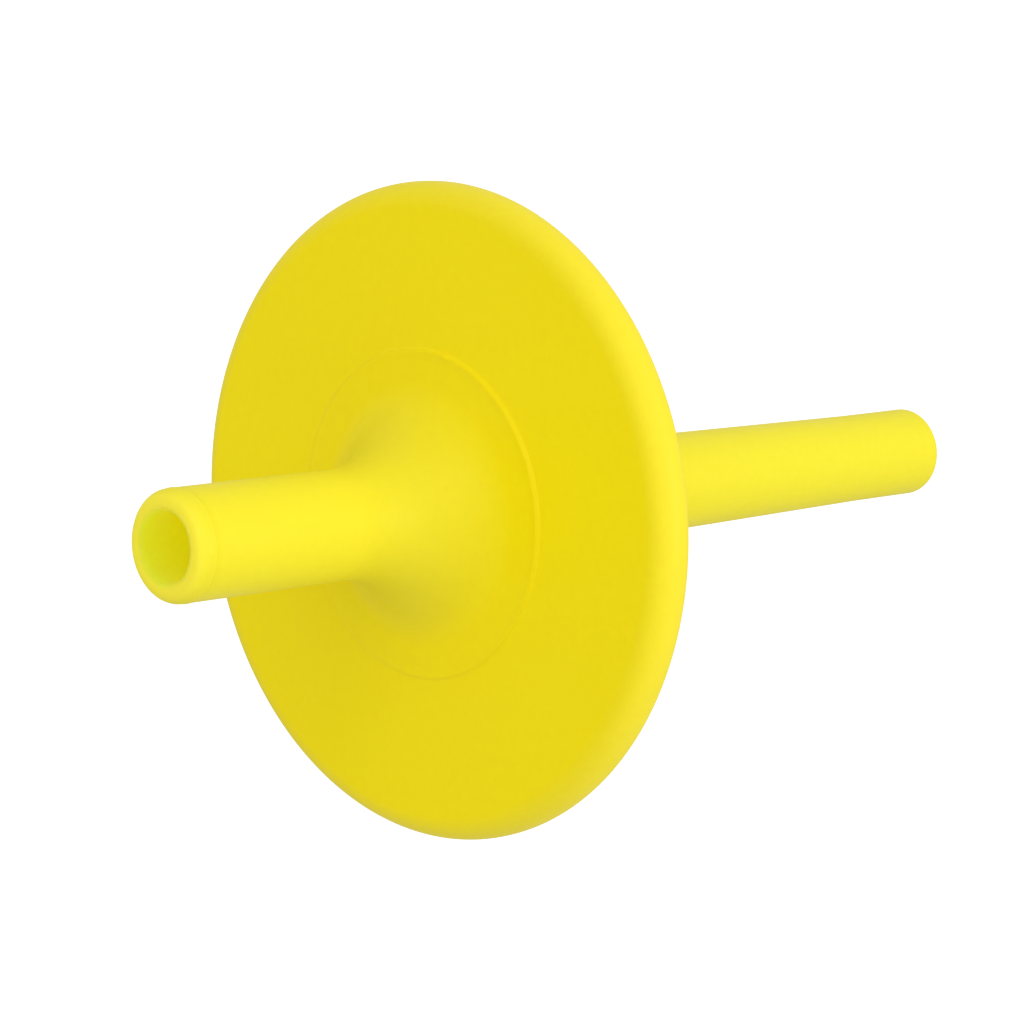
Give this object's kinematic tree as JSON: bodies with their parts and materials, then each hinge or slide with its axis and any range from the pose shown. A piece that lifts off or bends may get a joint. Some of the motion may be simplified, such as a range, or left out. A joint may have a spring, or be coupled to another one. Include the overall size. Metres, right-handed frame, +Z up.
{
  "type": "straw mouthpiece",
  "caption": "Soft drinking-straw mouthpiece: a short flared spout on a round lip disc, with a long tapered stem that plugs into a straw.",
  "frame": {"origin": "on the axis of the drinking bore, in the plane of the disc's lip face", "axes": "+Y along the drinking bore from the mouth end to the straw end, +Z up, the body is round about Y"},
  "size_m": [0.0381, 0.0635, 0.038],
  "materials": {
    "spout_rubber": "matte soft moulded, yellow",
    "disc_rubber": "matte soft moulded, yellow",
    "stem_rubber": "matte soft moulded, yellow"
  },
  "bodies": {
    "root": {"mouth_spout": "spout_rubber", "lip_disc": "disc_rubber", "straw_stem": "stem_rubber"}
  },
  "joints": []
}
